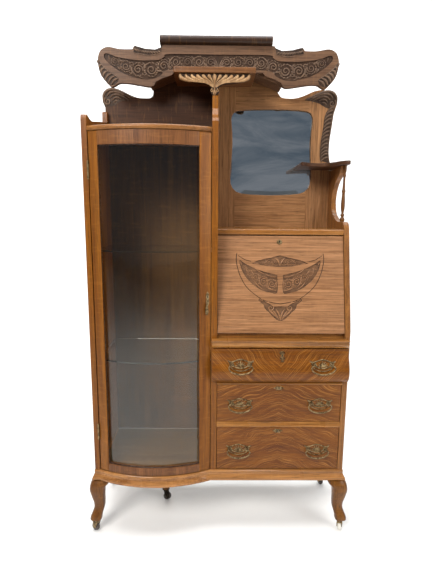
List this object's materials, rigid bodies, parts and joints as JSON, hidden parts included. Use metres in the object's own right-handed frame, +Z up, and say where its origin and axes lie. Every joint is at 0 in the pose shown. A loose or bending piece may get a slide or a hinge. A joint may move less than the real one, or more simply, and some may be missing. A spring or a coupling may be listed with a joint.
{
  "type": "china cabinet",
  "caption": "Side-by-side secretary cabinet: bowed glass-door china section beside a mirror, fall-front desk and drawers, on cabriole legs with casters.",
  "frame": {"origin": "centre of the bounding box on the floor", "axes": "+Z up, +Y from the front to the back, +X to the right of someone facing the doors"},
  "size_m": [1.0099, 0.406, 1.903],
  "materials": {
    "oak": "varnished quarter-sawn oak",
    "oak_dark": "dark stained oak",
    "oak_gold": "golden varnished oak",
    "back_wood": "plain unfinished wood",
    "inner_wood": "plain light wood",
    "brass": "antique brass",
    "iron": "dark iron",
    "porcelain": "glazed white",
    "wheel_wood": "dark hardwood",
    "glass": "clear, slightly wavy",
    "mirror": "bevelled looking glass"
  },
  "bodies": {
    "case": {"left_side_panel": "oak", "partition": "oak", "right_side_panel": "oak", "base_moulding": "oak", "china_top": "oak", "desk_top": "oak", "drawer_rail_upper": "oak", "drawer_rail_lower": "oak", "mirror_frame": "oak", "candle_shelf": "oak", "corner_shelf": "oak", "case_bottom": "oak_dark", "back_panel": "oak_dark", "canopy": "oak_dark", "crest_board": "oak_dark", "crest_cap": "oak_dark", "rear_left_leg": "oak_dark", "rear_right_leg": "oak_dark", "centre_leg": "oak_dark", "ledge_board": "oak_gold", "writing_board": "oak_gold", "shell_bracket": "oak_gold", "spindle": "oak_gold", "front_left_leg": "oak_gold", "front_right_leg": "oak_gold", "china_back": "back_wood", "desk_back": "back_wood", "pigeonhole_unit": "inner_wood", "mirror_plate": "mirror", "glass_shelf_lower": "glass", "glass_shelf_upper": "glass", "door_hinge_lower": "brass", "door_hinge_upper": "brass", "stay_stud": "brass", "lid_hinge_left": "brass", "lid_hinge_right": "brass"},
    "door": {"door_frame": "oak", "door_glass": "glass"},
    "door_drop": {"door_pull_drop": "brass"},
    "lid": {"fall_front": "oak"},
    "stay": {"stay_arm": "brass"},
    "upper_drawer": {"drawer_upper": "oak"},
    "middle_drawer": {"drawer_middle": "oak"},
    "lower_drawer": {"drawer_lower": "oak"},
    "upper_left_bail": {"bail_upper_left": "brass"},
    "upper_right_bail": {"bail_upper_right": "brass"},
    "middle_left_bail": {"bail_middle_left": "brass"},
    "middle_right_bail": {"bail_middle_right": "brass"},
    "lower_left_bail": {"bail_lower_left": "brass"},
    "lower_right_bail": {"bail_lower_right": "brass"},
    "front_left_caster": {"front_left_caster_fork": "brass"},
    "front_left_wheel": {"front_left_caster_wheel": "wheel_wood"},
    "rear_left_caster": {"rear_left_caster_fork": "brass"},
    "rear_left_wheel": {"rear_left_caster_wheel": "wheel_wood"},
    "front_right_caster": {"front_right_caster_fork": "brass"},
    "front_right_wheel": {"front_right_caster_wheel": "porcelain"},
    "rear_right_caster": {"rear_right_caster_fork": "brass"},
    "rear_right_wheel": {"rear_right_caster_wheel": "wheel_wood"},
    "centre_caster": {"centre_caster_fork": "iron"},
    "centre_wheel": {"centre_caster_wheel": "wheel_wood"}
  },
  "joints": [
    {"name": "door_hinge", "type": "hinge", "parent": "case", "child": "door", "pos_m": [-0.46063, -0.1475, 0.891], "axis": [0, 0, 1], "range_deg": [-110, 0]},
    {"name": "door_drop_swing", "type": "hinge", "parent": "door", "child": "door_drop", "pos_m": [-0.04953, -0.15856, 0.925], "axis": [0.9122, 0.4098, 0], "range_deg": [-60, 0]},
    {"name": "lid_hinge", "type": "hinge", "parent": "case", "child": "lid", "pos_m": [0.22547, -0.1264, 0.807], "axis": [1, 0, 0], "range_deg": [0, 103.5]},
    {"name": "stay_swing", "type": "hinge", "parent": "lid", "child": "stay", "pos_m": [0.45147, -0.08069, 0.95029], "axis": [1, 0, 0], "range_deg": [-51.75, 0]},
    {"name": "upper_drawer_slide", "type": "slide", "parent": "case", "child": "upper_drawer", "axis": [0, -1, 0], "range_m": [0, 0.25]},
    {"name": "middle_drawer_slide", "type": "slide", "parent": "case", "child": "middle_drawer", "axis": [0, -1, 0], "range_m": [0, 0.25]},
    {"name": "lower_drawer_slide", "type": "slide", "parent": "case", "child": "lower_drawer", "axis": [0, -1, 0], "range_m": [0, 0.25]},
    {"name": "upper_left_bail_swing", "type": "hinge", "parent": "upper_drawer", "child": "upper_left_bail", "pos_m": [0.07547, -0.186, 0.7], "axis": [1, 0, 0], "range_deg": [-95, 0]},
    {"name": "upper_right_bail_swing", "type": "hinge", "parent": "upper_drawer", "child": "upper_right_bail", "pos_m": [0.37747, -0.186, 0.7], "axis": [1, 0, 0], "range_deg": [-95, 0]},
    {"name": "middle_left_bail_swing", "type": "hinge", "parent": "middle_drawer", "child": "middle_left_bail", "pos_m": [0.07747, -0.153, 0.536], "axis": [1, 0, 0], "range_deg": [-95, 0]},
    {"name": "middle_right_bail_swing", "type": "hinge", "parent": "middle_drawer", "child": "middle_right_bail", "pos_m": [0.38047, -0.153, 0.536], "axis": [1, 0, 0], "range_deg": [-95, 0]},
    {"name": "lower_left_bail_swing", "type": "hinge", "parent": "lower_drawer", "child": "lower_left_bail", "pos_m": [0.07447, -0.153, 0.349], "axis": [1, 0, 0], "range_deg": [-95, 0]},
    {"name": "lower_right_bail_swing", "type": "hinge", "parent": "lower_drawer", "child": "lower_right_bail", "pos_m": [0.37747, -0.153, 0.349], "axis": [1, 0, 0], "range_deg": [-95, 0]},
    {"name": "front_left_caster_swivel", "type": "hinge", "parent": "case", "child": "front_left_caster", "pos_m": [-0.48203, -0.144, 0.044], "axis": [0, 0, 1], "continuous": true},
    {"name": "front_left_wheel_spin", "type": "hinge", "parent": "front_left_caster", "child": "front_left_wheel", "pos_m": [-0.48722, -0.141, 0.017], "axis": [0.5, 0.866, 0], "continuous": true},
    {"name": "rear_left_caster_swivel", "type": "hinge", "parent": "case", "child": "rear_left_caster", "pos_m": [-0.48203, 0.153, 0.044], "axis": [0, 0, 1], "continuous": true},
    {"name": "rear_left_wheel_spin", "type": "hinge", "parent": "rear_left_caster", "child": "rear_left_wheel", "pos_m": [-0.47997, 0.15864, 0.017], "axis": [0.9397, -0.342, 0], "continuous": true},
    {"name": "front_right_caster_swivel", "type": "hinge", "parent": "case", "child": "front_right_caster", "pos_m": [0.48297, -0.144, 0.044], "axis": [0, 0, 1], "continuous": true},
    {"name": "front_right_wheel_spin", "type": "hinge", "parent": "front_right_caster", "child": "front_right_wheel", "pos_m": [0.48442, -0.13818, 0.017], "axis": [0.9703, -0.2419, 0], "continuous": true},
    {"name": "rear_right_caster_swivel", "type": "hinge", "parent": "case", "child": "rear_right_caster", "pos_m": [0.48297, 0.153, 0.044], "axis": [0, 0, 1], "continuous": true},
    {"name": "rear_right_wheel_spin", "type": "hinge", "parent": "rear_right_caster", "child": "rear_right_wheel", "pos_m": [0.48092, 0.15864, 0.017], "axis": [0.9397, 0.342, 0], "continuous": true},
    {"name": "centre_caster_swivel", "type": "hinge", "parent": "case", "child": "centre_caster", "pos_m": [-0.22853, 0.046, 0.044], "axis": [0, 0, 1], "continuous": true},
    {"name": "centre_wheel_spin", "type": "hinge", "parent": "centre_caster", "child": "centre_wheel", "pos_m": [-0.22273, 0.04755, 0.017], "axis": [0.2588, -0.9659, 0], "continuous": true}
  ],
  "couplings": [
    {"joint": "stay_swing", "follows": "lid_hinge", "ratio": -0.5}
  ]
}
